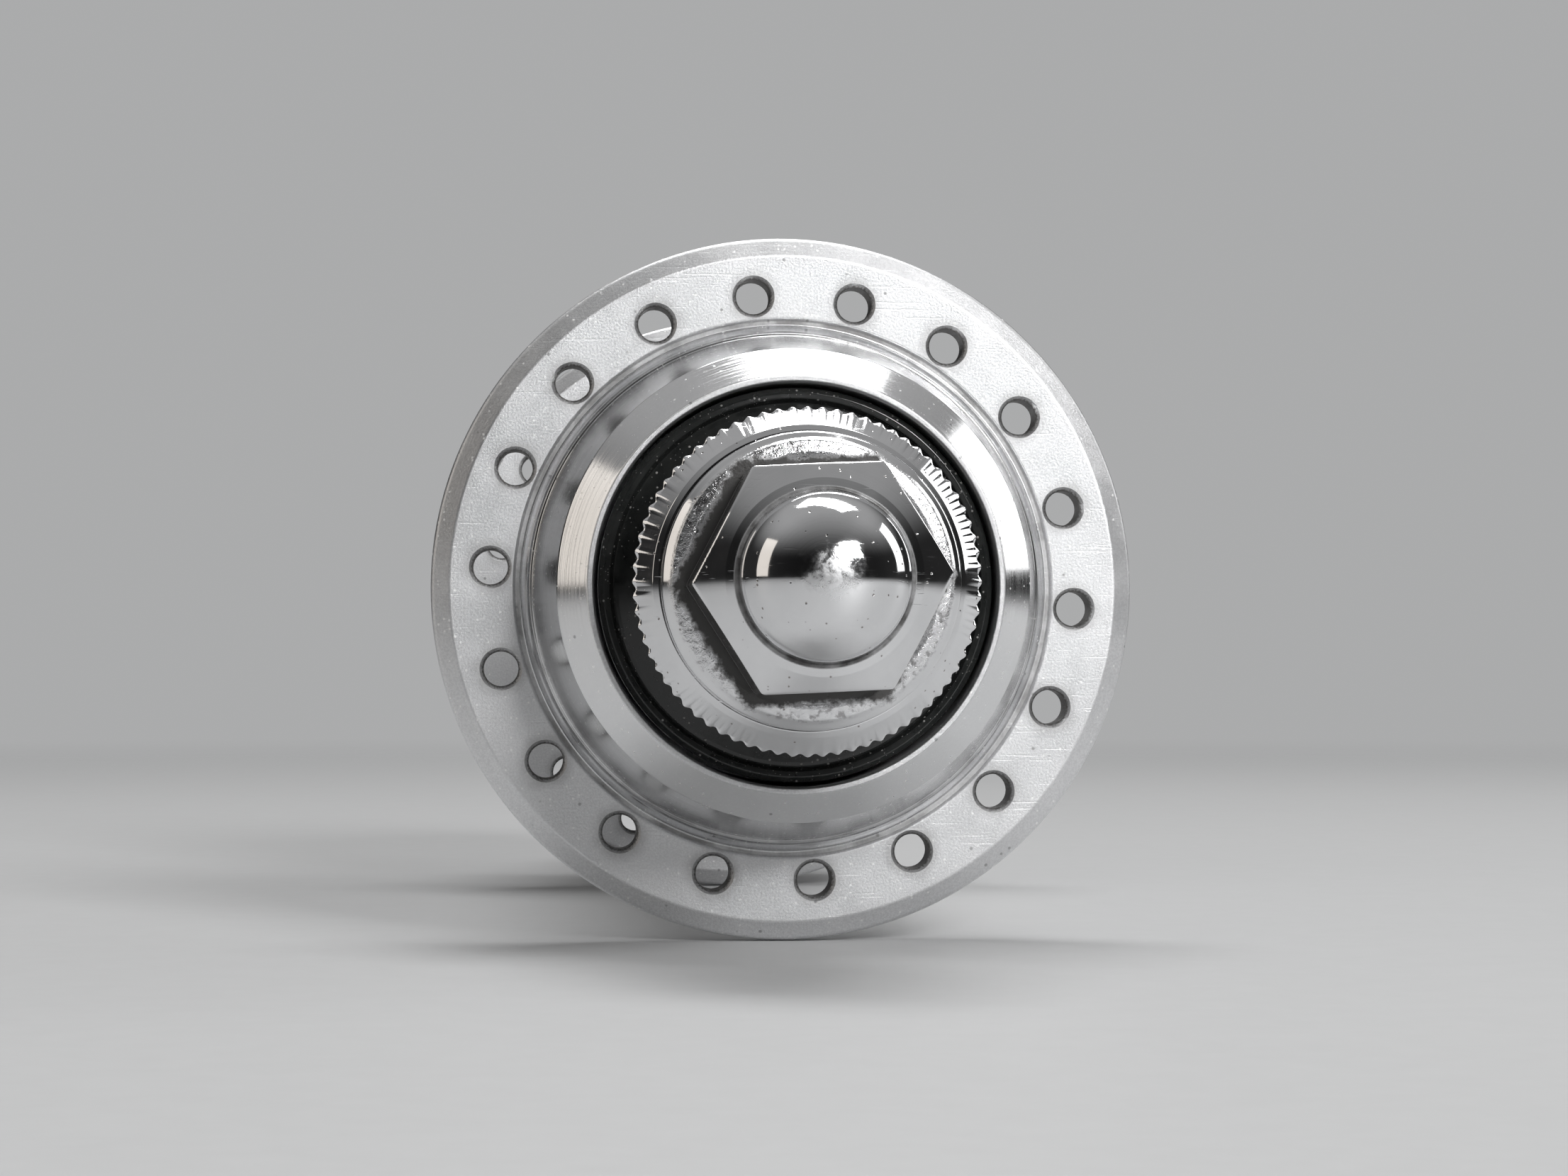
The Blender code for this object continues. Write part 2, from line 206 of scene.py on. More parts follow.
def revolve(points, side, angles, rule=None, closed=True):
    """A bmesh turned about the axle. rule(station, radius, angle) may move the grid's points."""
    if isinstance(angles, int):
        angles = np.arange(angles) * math.tau / angles
    grid = np.array(points, float)
    station = np.repeat(grid[:, :1], len(angles), axis=1)
    radius = np.repeat(grid[:, 1:], len(angles), axis=1)
    angle = np.repeat(angles[None, :], len(grid), axis=0)
    if rule:
        station, radius = rule(station, radius, angle)
    places = np.stack([radius * np.cos(angle), side * station, radius * np.sin(angle)], axis=-1)
    rows, columns = station.shape
    build = bmesh.new()
    verts = [[build.verts.new(place) for place in row] for row in places * MM]
    for row in range(rows if closed else rows - 1):
        here, there = verts[row], verts[(row + 1) % rows]
        for column in range(columns):
            beside = (column + 1) % columns
            build.faces.new((here[column], here[beside], there[beside], there[column]))
    if not closed:
        poles = [vert for row in (verts[0], verts[-1]) for vert in row]
        bmesh.ops.remove_doubles(build, verts=poles, dist=1e-7)
    return build


def stand_for(piece, node):
    """The piece rides where its CAD node does and stands for it; the node is hidden."""
    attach(piece, BODY_OF[node])
    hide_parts(node)
    return piece


def turned(node, points, side, finish, angles=144, rule=None, closed=True, sharp=SHARP):
    """A turned piece that stands for a node."""
    build = revolve(points, side, angles, rule, closed)
    return stand_for(finish_mesh(node + "_finished", build, finish, sharp), node)


def soft_min(first, second, blend):
    """The smaller of two, rounded where they cross."""
    share = np.clip(0.5 + 0.5 * (second - first) / blend, 0.0, 1.0)
    return second * (1 - share) + first * share - blend * share * (1 - share)


def triangle_wave(phase):
    """0 to 1 and back for each unit of phase."""
    return 1.0 - np.abs(2.0 * (phase - np.floor(phase)) - 1.0)


def flats(spanner, count, turn, low, high, blend=0.1):
    """A rule that mills flats, spanner apart, on the stretch between two stations."""
    pitch = math.tau / count

    def rule(station, radius, angle):
        local = (angle - turn) % pitch - pitch / 2
        flat = spanner / 2 / np.cos(local)
        milled = soft_min(radius, flat, blend)
        here = (station >= low) & (station <= high)
        return station, np.where(here, milled, radius)
    return rule


def thread_wave(station, angle, pitch, depth, low, high, run_out=0.6):
    """How far a thread with rounded crests lies under them, fading out at both ends."""
    wave = 0.5 - 0.5 * np.cos(math.tau * station / pitch + angle)
    fade = np.clip(np.minimum(station - low, high - station) / run_out, 0.0, 1.0)
    return depth * fade * wave


# ---------------------------------------------------------------- materials

def link_or_set(tree, socket, value):
    if isinstance(value, bpy.types.NodeSocket):
        tree.links.new(value, socket)
    else:
        socket.default_value = value


class Finish:
    """A Principled material with short helpers for its procedural nodes; lengths in millimetres."""

    def __init__(self, name, metallic, **fixed):
        self.material = bpy.data.materials.new(name)
        self.material.use_nodes = True
        self.tree = self.material.node_tree
        self.shader = self.tree.nodes["Principled BSDF"]
        self.shader.inputs["Metallic"].default_value = metallic
        for key, value in fixed.items():
            self.shader.inputs[key.replace("_", " ")].default_value = value
        place = self.node("ShaderNodeTexCoord").outputs["Object"]
        self.place = self.vector("SCALE", place, Scale=1000.0)
        apart = self.node("ShaderNodeSeparateXYZ", Vector=self.place)
        self.x, self.y, self.z = (apart.outputs[axis] for axis in "XYZ")
        self.out = self.math("ABSOLUTE", self.y)
        squares = self.math("ADD", self.product(self.x, self.x), self.product(self.z, self.z))
        self.radius = self.math("SQRT", squares)
        self.angle = self.math("ARCTAN2", self.z, self.x)
        drift = self.node("ShaderNodeCombineXYZ", X=self.product(self.x, 0.02),
                          Y=self.product(self.z, 0.02)).outputs[0]
        lines = self.node("ShaderNodeCombineXYZ", X=self.radius, Y=self.y).outputs[0]
        self.turning = self.vector("ADD", lines, drift)
        self.height = None

    def node(self, kind, settings=None, **inputs):
        made = self.tree.nodes.new(kind)
        for key, value in (settings or {}).items():
            setattr(made, key, value)
        for key, value in inputs.items():
            link_or_set(self.tree, made.inputs[key.replace("_", " ")], value)
        return made

    def math(self, operation, *values):
        made = self.tree.nodes.new("ShaderNodeMath")
        made.operation = operation
        for socket, value in zip(made.inputs, values):
            link_or_set(self.tree, socket, value)
        return made.outputs[0]

    def product(self, first, *others):
        for value in others:
            first = self.math("MULTIPLY", first, value)
        return first

    def most(self, first, *others):
        for value in others:
            first = self.math("MAXIMUM", first, value)
        return first

    def vector(self, operation, *values, **named):
        made = self.tree.nodes.new("ShaderNodeVectorMath")
        made.operation = operation
        for socket, value in zip(made.inputs, values):
            link_or_set(self.tree, socket, value)
        for key, value in named.items():
            link_or_set(self.tree, made.inputs[key], value)
        return made.outputs[0]

    def vector_length(self, value):
        made = self.tree.nodes.new("ShaderNodeVectorMath")
        made.operation = "LENGTH"
        self.tree.links.new(value, made.inputs[0])
        return made.outputs["Value"]

    def noise(self, where, scale, detail=3.0, roughness=0.55):
        return self.node("ShaderNodeTexNoise", Vector=where, Scale=scale, Detail=detail,
                         Roughness=roughness).outputs[0]

    def stretched(self, turn, squeeze, scale, detail=2.0):
        """Noise drawn out along a direction in the flanges' plane, for scratches."""
        mapped = self.node("ShaderNodeMapping", Vector=self.place, Rotation=(0.0, turn, 0.0),
                           Scale=squeeze)
        return self.noise(mapped.outputs[0], scale, detail)

    def lean(self, start, count):
        """Angle from the middle of the sector that a point is in, one of count that begin at start."""
        pitch = math.tau / count
        sectors = self.math("DIVIDE", self.math("SUBTRACT", self.angle, start), pitch)
        return self.product(self.math("SUBTRACT", self.math("FRACT", sectors), 0.5), pitch)

    def ramp(self, value, low, high, start=0.0, end=1.0):
        """A smooth step from start to end as value goes from low to high."""
        made = self.node("ShaderNodeMapRange", {"interpolation_type": "SMOOTHSTEP"}, Value=value,
                         From_Min=low, From_Max=high, To_Min=start, To_Max=end)
        return made.outputs[0]

    def band(self, value, low, high, edge):
        """1 between low and high, with soft edges."""
        return self.math("MULTIPLY", self.ramp(value, low - edge, low + edge),
                         self.ramp(value, high - edge, high + edge, 1.0, 0.0))

    def mix(self, share, first, second):
        """Mix two numbers."""
        made = self.tree.nodes.new("ShaderNodeMix")
        made.data_type = "FLOAT"
        sockets = made.inputs[0], made.inputs[2], made.inputs[3]
        for socket, value in zip(sockets, (share, first, second)):
            link_or_set(self.tree, socket, value)
        return made.outputs[0]

    def tint(self, share, first, second):
        """Mix two colours."""
        made = self.tree.nodes.new("ShaderNodeMix")
        made.data_type = "RGBA"
        sockets = made.inputs[0], made.inputs[6], made.inputs[7]
        for socket, value in zip(sockets, (share, first, second)):
            if isinstance(value, tuple):
                value = (*value, 1.0)
            link_or_set(self.tree, socket, value)
        return made.outputs[2]

    def relief(self, value, depth):
        """Add value times depth, in millimetres, to the surface's height."""
        part = self.math("MULTIPLY", value, depth)
        self.height = part if self.height is None else self.math("ADD", self.height, part)

    def specks(self, scale, share):
        """Small scattered dots: 1 on a dot. share is about the part of the cells that hold one."""
        cells = self.node("ShaderNodeTexVoronoi", Vector=self.place, Scale=scale)
        lot = self.node("ShaderNodeSeparateColor", Color=cells.outputs["Color"]).outputs[0]
        chosen = self.math("LESS_THAN", lot, share)
        return self.product(chosen, self.ramp(cells.outputs["Distance"], 0.12, 0.3, 1.0, 0.0))

    def done(self, colour, roughness, bump=1.0):
        """Connect colour, roughness and the gathered relief, and hand over the material."""
        link_or_set(self.tree, self.shader.inputs["Base Color"], colour)
        link_or_set(self.tree, self.shader.inputs["Roughness"], roughness)
        if self.height is not None:
            made = self.node("ShaderNodeBump", Height=self.height, Strength=bump, Distance=MM)
            self.tree.links.new(made.outputs[0], self.shader.inputs["Normal"])
        return self.material


def scratches(finish, low=0.66, high=0.74):
    """Three families of fine straight scratches: 1 on a scratch."""
    total = None
    for turn, scale in ((0.4, 1.1), (1.5, 0.9), (2.6, 1.3)):
        lines = finish.stretched(turn, (0.12, 0.5, 4.0), scale)
        found = finish.ramp(lines, low, high)
        total = found if total is None else finish.math("MAXIMUM", total, found)
    return total


def near_hole(metal, near_end):
    """Distance in millimetres from the nearest spoke hole's middle line."""
    start = metal.math("ADD", metal.product(near_end, HOLE_PITCH / 2), NEAR_HOLE_ANGLE)
    lean = metal.lean(start, SPOKE_HOLES)
    across = metal.product(metal.radius, metal.math("SINE", lean))
    along = metal.product(metal.radius, metal.math("COSINE", lean))
    outward = metal.math("SUBTRACT", along, SPOKE_CIRCLE)
    return metal.vector_length(metal.node("ShaderNodeCombineXYZ", X=across, Y=outward).outputs[0])


def hole_shade_and_stain(metal, near_end, grain, cloud):
    """Painted shade on the walls of the spoke holes, and a faint stain round each."""
    hole = near_hole(metal, near_end)
    # The darkened hole walls are painted shade; the halo round each hole is a stain.
    wall = metal.ramp(metal.math("ADD", hole, metal.product(grain, 0.5)), 1.55, 1.85, 0.9, 0.0)
    halo = metal.ramp(metal.math("ADD", hole, metal.product(cloud, 1.4)), 1.9, 3.2, 0.35, 0.0)
    return metal.most(wall, halo)


def foot_ring_shade_and_dirt(metal, near_end, face, cloud):
    """Painted shade, with some dirt, in the groove and on the step at the foot of the near boss."""
    foot = metal.product(metal.band(metal.radius, 19.8, 20.12, 0.08),
                         metal.ramp(metal.out, face - 0.5, face - 0.3))
    step = metal.product(metal.band(metal.radius, 18.9, 19.02, 0.05),
                         metal.ramp(metal.out, face, face + 0.5))
    rings = metal.math("ADD", foot, step)
    return metal.product(rings, near_end, metal.ramp(cloud, 0.35, 0.6, 0.75, 0.35))


def thread_grime(metal, rim):
    """Dirt at the roots of the far boss's two threads."""
    sprocket, lockring = far_threads(rim - FAR_FACE_FROM_RIM, rim)
    on_sprocket = metal.product(metal.ramp(metal.radius, 16.95, 17.3, 1.0, 0.0),
                                metal.band(metal.y, sprocket[0] + 0.1, sprocket[1], 0.2))
    on_lockring = metal.product(metal.ramp(metal.radius, 15.95, 16.3, 1.0, 0.0),
                                metal.band(metal.y, lockring[0] + 0.2, lockring[1] - 0.4, 0.2))
    outside = metal.ramp(metal.radius, 15.0, 15.2, 0.0, 0.7)
    return metal.product(metal.most(on_sprocket, on_lockring), outside)


def shell_metal(rim, face):
    """Satin flanges and barrel, polished near boss. rim ends the boss and face is its flange's."""
    metal = Finish("satin_aluminium_worn_painted_shade", 1.0)
    near_end = metal.math("LESS_THAN", metal.y, 0.0)
    polished = metal.product(metal.ramp(metal.radius, 19.6, 20.0, 1.0, 0.0),
                             metal.ramp(metal.out, face - 0.4, face - 0.2),
                             metal.ramp(metal.radius, 14.98, 15.08), near_end)
    lines = metal.noise(metal.turning, 5.0, 2.0)
    fine_lines = metal.noise(metal.turning, 22.0, 1.0)
    grain = metal.noise(metal.place, 6.0, 5.0, 0.7)
    cloud = metal.noise(metal.place, 0.35, 3.0)
    marks = metal.product(scratches(metal), metal.math("SUBTRACT", 1.0, polished))
    dust = metal.most(metal.specks(2.4, 0.16), metal.product(metal.specks(5.0, 0.2), 0.6))
    metal.relief(grain, metal.mix(polished, 0.020, 0.0008))
    metal.relief(lines, metal.mix(polished, 0.0025, 0.008))
    metal.relief(fine_lines, metal.mix(polished, 0.0015, 0.002))
    metal.relief(marks, -0.004)
    base = metal.tint(cloud, (0.74, 0.745, 0.755), (0.80, 0.80, 0.805))
    mottle = metal.product(metal.ramp(grain, 0.38, 0.62, 1.0, 0.0), metal.mix(polished, 0.5, 0.1))
    base = metal.tint(mottle, base, (0.58, 0.58, 0.59))
    base = metal.tint(metal.product(dust, 0.8), base, (0.96, 0.96, 0.95))
    base = metal.tint(metal.product(metal.specks(1.7, 0.03), 0.6), base, (0.2, 0.2, 0.2))
    # Painted shade on the spoke holes' walls and in the boss's foot rings, with stains round the holes
    # and dirt in the thread roots, darkens the metal.
    dirt_and_painted_shade = metal.most(hole_shade_and_stain(metal, near_end, grain, cloud), foot_ring_shade_and_dirt(metal, near_end, face, cloud),
                      thread_grime(metal, rim))
    base = metal.tint(dirt_and_painted_shade, base, (0.10, 0.095, 0.09))
    satin_rough = metal.ramp(cloud, 0.35, 0.65, 0.37, 0.42)
    polished_rough = metal.ramp(lines, 0.3, 0.7, 0.10, 0.18)
    rough = metal.mix(polished, satin_rough, polished_rough)
    rough = metal.math("ADD", rough, metal.product(metal.most(dust, dirt_and_painted_shade), 0.2))
    return metal.done(base, rough)


def nut_wear_and_shade(plate, foot, top, cloud, colour, rough):
    """Grainy flange, painted shade with some dirt round the foot of the flats, painted shade in the
    dome's groove, and a scuffed tip.
    """
    deck = foot + NUT_DECK
    hex_top = top - HEX_FROM_TIP
    fine = plate.noise(plate.place, 9.0, 3.0)
    lumps = plate.noise(plate.place, 1.9, 5.0, 0.65)
    on_deck = plate.product(plate.band(plate.radius, 8.6, 9.8, 0.25),
                            plate.band(plate.out, deck - 0.3, deck + 0.3, 0.15))
    wander = plate.product(plate.noise(plate.place, 1.1, 4.0, 0.6), 3.0)
    tip = plate.product(plate.ramp(plate.math("SUBTRACT", plate.radius, wander), -0.9, 0.9, 1.0, 0.0),
                        plate.ramp(plate.out, top - 1.0, top - 0.6))
    plate.relief(plate.product(lumps, on_deck), 0.09)
    plate.relief(plate.product(fine, on_deck), 0.012)
    plate.relief(plate.product(fine, tip), 0.010)
    rough = plate.math("ADD", rough, plate.product(on_deck, lumps, 0.25))
    rough = plate.math("ADD", rough, plate.product(tip, plate.ramp(lumps, 0.35, 0.6, 0.12, 0.34)))
    pitted = plate.product(on_deck, plate.ramp(lumps, 0.36, 0.5, 1.0, 0.0), 0.6)
    colour = plate.tint(pitted, colour, (0.14, 0.13, 0.13))
    across = plate.product(plate.radius, plate.math("COSINE", plate.lean(HEX_TURN, 6)))
    ragged = plate.math("ADD", across, plate.product(lumps, 1.2))
    # Painted shade, with some dirt, where the flats meet the deck.
    root = plate.product(plate.ramp(ragged, 8.7, 9.3, 1.0, 0.0),
                         plate.ramp(plate.out, deck + 0.1, deck + 1.3, 1.0, 0.0),
                         plate.ramp(plate.out, deck - 1.2, deck - 0.6, 0.0, 0.97))
    # Painted shade in the groove round the dome.
    groove = plate.product(plate.band(plate.radius, 5.55, 5.95, 0.07),
                           plate.band(plate.out, hex_top - 0.6, hex_top + 0.25, 0.05),
                           plate.ramp(cloud, 0.35, 0.65, 0.95, 0.6))
    # The painted shade at the flats' foot and in the groove, with some dirt, darkens the colour and makes
    # the metal matte.
    shade_and_grime = plate.most(root, groove)
    colour = plate.tint(shade_and_grime, colour, (0.03, 0.028, 0.026))
    rough = plate.math("ADD", rough, plate.product(shade_and_grime, 0.35))
    link_or_set(plate.tree, plate.shader.inputs["Metallic"], plate.math("SUBTRACT", 1.0, shade_and_grime))
    return colour, rough


def chrome(name, nut=None):
    """Scratched and lightly pitted chrome plate. nut is a nut's first and last station."""
    plate = Finish(name, 1.0)
    cloud = plate.noise(plate.place, 0.5, 4.0)
    marks = scratches(plate, 0.68, 0.75)
    pits = plate.specks(3.0, 0.06)
    colour = plate.tint(cloud, (0.70, 0.705, 0.715), (0.80, 0.80, 0.81))
    colour = plate.tint(plate.product(pits, 0.75), colour, (0.16, 0.13, 0.11))
    rough = plate.math("ADD", plate.ramp(cloud, 0.3, 0.7, 0.05, 0.10), plate.product(marks, 0.10))
    plate.relief(plate.noise(plate.turning, 6.0, 2.0), 0.0022)
    plate.relief(marks, -0.002)
    plate.relief(pits, -0.02)
    if nut:
        colour, rough = nut_wear_and_shade(plate, *nut, cloud, colour, rough)
    return plate.done(colour, rough)


def black_seal():
    """Glossy black rubber under a film of dust."""
    seal = Finish("glossy_black_seal", 0.0, IOR=1.5)
    dust = seal.most(seal.specks(2.6, 0.14), seal.product(seal.specks(6.0, 0.12), 0.6))
    film = seal.noise(seal.place, 0.8, 4.0)
    seal.relief(seal.noise(seal.turning, 4.0, 2.0), 0.006)
    seal.relief(dust, 0.02)
    colour = seal.tint(film, (0.007, 0.008, 0.008), (0.022, 0.023, 0.022))
    colour = seal.tint(seal.product(dust, 0.55), colour, (0.45, 0.44, 0.42))
    rough = seal.math("ADD", seal.ramp(film, 0.3, 0.7, 0.08, 0.22), seal.product(dust, 0.4))
    return seal.done(colour, rough)


def zinc_steel():
    """Bright zinc on the spacers, locknuts and axle, stained in patches and dirty in the thread."""
    steel = Finish("zinc_plated_steel", 1.0)
    cloud = steel.noise(steel.place, 0.6, 5.0)
    stain = steel.ramp(steel.noise(steel.place, 1.4, 5.0, 0.7), 0.56, 0.7)
    steel.relief(steel.noise(steel.turning, 7.0, 2.0), 0.008)
    steel.relief(steel.noise(steel.place, 8.0, 3.0), 0.004)
    colour = steel.tint(cloud, (0.42, 0.425, 0.43), (0.58, 0.58, 0.57))
    colour = steel.tint(steel.product(stain, 0.6), colour, (0.30, 0.24, 0.18))
    roots = steel.ramp(steel.radius, 4.5, 4.85, 0.75, 0.0)
    colour = steel.tint(roots, colour, (0.10, 0.09, 0.08))
    rough = steel.math("ADD", steel.ramp(cloud, 0.3, 0.7, 0.24, 0.4), steel.product(stain, 0.15))
    return steel.done(colour, rough)


def ground_steel():
    """Hardened and ground steel, with a faint oily film."""
    steel = Finish("ground_bearing_steel", 1.0)
    film = steel.noise(steel.place, 0.9, 4.0)
    lines = steel.noise(steel.turning, 9.0, 2.0)
    steel.relief(lines, 0.003)
    colour = steel.tint(film, (0.50, 0.50, 0.51), (0.62, 0.62, 0.62))
    colour = steel.tint(steel.ramp(film, 0.55, 0.75, 0.0, 0.35), colour, (0.36, 0.31, 0.22))
    rough = steel.math("ADD", steel.ramp(film, 0.3, 0.7, 0.10, 0.24), steel.product(lines, 0.05))
    return steel.done(colour, rough)


# ---------------------------------------------------------------- the hub's pieces

def flare(back):
    """Quarter of an ellipse from the barrel out to the back of a flange."""
    points = []
    steps = 16
    for index in range(steps + 1):
        share = math.sin(math.pi / 2 * index / steps)
        radius = FLANGE_FOOT - (FLANGE_FOOT - BARREL) * math.sqrt(1 - share * share)
        points.append((back - FLARE + FLARE * share, radius))
    return points


def flange_edge(face, edge):
    """Chamfered edge of a flange from its back to its outer face."""
    back = face - FLANGE_THICKNESS
    return outline([(back, FLANGE_FOOT), (back, edge - 1.3, 0.4), (back + 0.75, edge, 0.5),
                    (face - 0.75, edge, 0.5), (face, edge - 1.4, 0.4), (face, 21.0)],
                   closed=False)[1:-1]


def near_boss(face, rim):
    """Polished boss: a groove at its foot, a step, a long taper and a chamfer round the seal."""
    return outline([
        (face, 23.0), (face, 20.3, 0.15), (face - 0.25, 20.1, 0.12), (face - 0.25, 19.75, 0.15),
        (face + 0.45, 19.2, 0.5), (face + 1.1, 19.05, 0.15), (face + 1.15, 18.85, 0.12),
        (rim - 2.2, 17.15, 0.35), (rim - 0.12, 15.1, 0.12), (rim, 14.95, 0.08),
        (rim, 14.62, 0.1), (rim - 0.35, BEARING_BORE, 0.1), (rim - 8.0, BEARING_BORE)],
        closed=False)[1:-1]


def far_boss(face, rim):
    """Shoulder, sprocket seat and lockring seat, with an undercut before each."""
    shoulder = face + FAR_SHOULDER
    land = shoulder + SPROCKET_SEAT
    points = outline([
        (face, 23.0), (face, 20.6, 0.3), (face + 0.5, 19.7, 0.5), (shoulder, 19.6, 0.25),
        (shoulder, 16.5, 0.2), (shoulder + 1.2, 16.5, 0.2), (shoulder + 1.8, 17.35, 0.1),
        (land - 0.5, 17.35, 0.1), (land, 16.9, 0.1), (land, 15.8, 0.15), (land + 0.9, 15.8, 0.15),
        (land + 1.4, 16.35, 0.1), (rim - 0.6, 16.35, 0.1), (rim, 15.8, 0.15), (rim, 14.6, 0.1),
        (rim - 0.4, BEARING_BORE, 0.1), (rim - 8.0, BEARING_BORE)], closed=False)[1:-1]
    return dense(points, 0.06, shoulder + 1.5, rim - 0.4)


def far_threads(face, rim):
    """The far boss's two threaded stretches: the sprocket's and the lockring's."""
    shoulder = face + FAR_SHOULDER
    land = shoulder + SPROCKET_SEAT
    return (shoulder + 1.5, land - 0.1), (land + 1.1, rim - 0.1)


def shell_threads(face, rim):
    """A rule that cuts the right-hand sprocket thread and the left-hand lockring thread."""
    sprocket, lockring = far_threads(face, rim)

    def rule(place, radius, angle):
        cleared = np.zeros_like(radius)
        for (low, high), hand in ((sprocket, 1), (lockring, -1)):
            here = (radius > BEARING_BORE + 1.5) & (place > low) & (place < high)
            wave = thread_wave(place, hand * angle, INCH_THREAD, INCH_THREAD_DEPTH, low, high)
            cleared += np.where(here, wave, 0)
        return place, radius - cleared
    return rule


def spoke_drills(faces):
    """One body that drills and countersinks every spoke hole."""
    build = bmesh.new()
    half = FLANGE_THICKNESS / 2
    hole, mouth = SPOKE_HOLE_RADIUS, SPOKE_HOLE_RADIUS + 1.3
    profile = [(-half - 1.0, 0.0), (-half - 1.0, mouth), (0.3 - half, hole), (half - 0.3, hole),
               (half + 1.0, mouth), (half + 1.0, 0.0)]
    for side, face, first in faces:
        for index in range(SPOKE_HOLES):
            angle = first + math.tau * index / SPOKE_HOLES
            across, up = SPOKE_CIRCLE * math.cos(angle), SPOKE_CIRCLE * math.sin(angle)
            middle = Vector((across, side * (face - half), up))
            drill = revolve(profile, 1, 28, closed=False)
            bmesh.ops.translate(drill, verts=drill.verts, vec=middle * MM)
            part = bpy.data.meshes.new("drill")
            drill.to_mesh(part)
            drill.free()
            build.from_mesh(part)
            bpy.data.meshes.remove(part)
    return build


def cut(piece, cutter):
    """Take the cutter's body out of the piece's mesh for good."""
    change = piece.modifiers.new("cut", "BOOLEAN")
    change.operation = "DIFFERENCE"
    change.solver = "EXACT"
    change.object = cutter
    evaluated = piece.evaluated_get(bpy.context.evaluated_depsgraph_get())
    mesh = bpy.data.meshes.new_from_object(evaluated)
    piece.modifiers.clear()
    piece.data = mesh
    bpy.data.objects.remove(cutter)


def hub_shell():
    """Both flanges, the barrel and the two bosses, turned as one, then drilled for the spokes."""
    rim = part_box("hub_shell")[1].y / MM
    edge = radius_of("hub_shell")
    near_face = rim - NEAR_FACE_FROM_RIM
    far_face = rim - FAR_FACE_FROM_RIM
    seat = stations("near_bearing_cup")[0] - 0.3
    inside = [(seat, BEARING_BORE), (seat, BARREL_BORE)]
    halves = []
    for face, boss in ((near_face, near_boss), (far_face, far_boss)):
        halves.append(flare(face - FLANGE_THICKNESS) + flange_edge(face, edge) + boss(face, rim) + inside)
    points = [(-place, radius) for place, radius in reversed(halves[0])] + halves[1]
    build = revolve(points, 1, SHELL_ANGLES, shell_threads(far_face, rim))
    shell = finish_mesh("hub_shell_finished", build, shell_metal(rim, near_face))
    drills = spoke_drills(((-1, near_face, NEAR_HOLE_ANGLE), (1, far_face, FAR_HOLE_ANGLE)))
    cut(shell, finish_mesh("spoke_drills", drills, shell.data.materials[0]))
    shell.data.shade_smooth()
    shell.data.set_sharp_from_angle(angle=math.radians(SHARP))
    stand_for(shell, "hub_shell")


def cap_nut(end, side, finish):
    """Flanged hexagon nut with a collar for the captive washer, a domed end and a blind bore."""
    node = end + "_cap_nut"
    foot, top = stations(node)
    rim = radius_of(node)
    under = foot + NUT_UNDERSIDE
    deck = foot + NUT_DECK
    hex_top = top - HEX_FROM_TIP
    dome_foot = top - DOME_HEIGHT
    points = outline([
        (hex_top - 0.1, 0.0), (hex_top - 0.1, 4.6, 0.3), (hex_top - 0.6, AXLE_BORE, 0.2),
        (foot, AXLE_BORE, 0.2), (foot, 8.4, 0.25), (foot + 1.0, 8.4, 0.2), (foot + 1.1, 7.5, 0.1),
        (under, 7.5, 0.1), (under, rim - 0.25, 0.15), (under + 0.3, rim, 0.2), (deck - 0.75, rim, 0.35),
        (deck - 0.2, 9.5, 0.3), (deck, 8.75, 0.1), (deck + 0.02, 8.62, 0.02), (hex_top - 1.75, 8.62, 0.1),
        (hex_top - 0.35, 6.5, 0.25), (hex_top, 5.75, 0.12), (hex_top - 0.15, 5.35, 0.1),
        (dome_foot - 0.25, 5.35, 0.12), (dome_foot, 5.62, 0.1)], closed=False)
    points += dome(dome_foot, top, DOME_RADIUS)
    points = dense(points, 0.12, hex_top - 2.0, hex_top)
    points = dense(points, 0.6, deck, hex_top - 2.0)
    rule = flats(NUT_SPANNER, 6, HEX_TURN, deck + 0.01, hex_top + 0.01)
    turned(node, points, side, finish, 360, rule, closed=False)


def dome(foot, top, radius):
    """A slightly pointed dome."""
    points = []
    count = 26
    for index in range(1, count):
        angle = math.pi / 2 * index / count
        points.append((foot + (top - foot) * math.sin(angle) ** 0.96, radius * math.cos(angle)))
    points.append((top, 0.0))
    return points


def captive_washer(end, side, finish):
    """Toothed rim, polished cone and radial teeth on the face that bites the frame."""
    node = end + "_washer"
    seat, top = stations(node)
    rim = radius_of(node)
    teeth = 72
    points = outline([
        (seat, 9.0, 0.15), (seat, rim - 0.35, 0.15), (seat + 0.35, rim, 0.1), (seat + 1.05, rim, 0.08),
        (seat + 1.22, rim - 0.2), (seat + 1.32, rim - 0.32), (top - 0.25, 10.75, 0.15),
        (top, 10.35, 0.12), (top, 7.95, 0.15), (top - 1.2, 7.8, 0.1), (top - 1.2, 8.8, 0.1)])
    points = dense(points, 0.2, seat - 1, seat + 1.3)

    def rule(station, radius, angle):
        notch = np.clip(1.4 * triangle_wave(angle * teeth / math.tau) - 0.2, 0.0, 1.0)
        on_rim = np.clip((radius - rim + 0.3) / 0.15, 0.0, 1.0)
        bite = np.clip(1.0 - np.abs(radius - 10.4) / 1.1, 0.0, 1.0) * (station < seat + 0.05)
        bite *= triangle_wave(angle * teeth / 2 / math.tau)
        return station + 0.28 * np.clip(1.6 * bite, 0.0, 1.0), radius - 0.24 * notch * on_rim
    turned(node, points, side, finish, teeth * 8, rule)


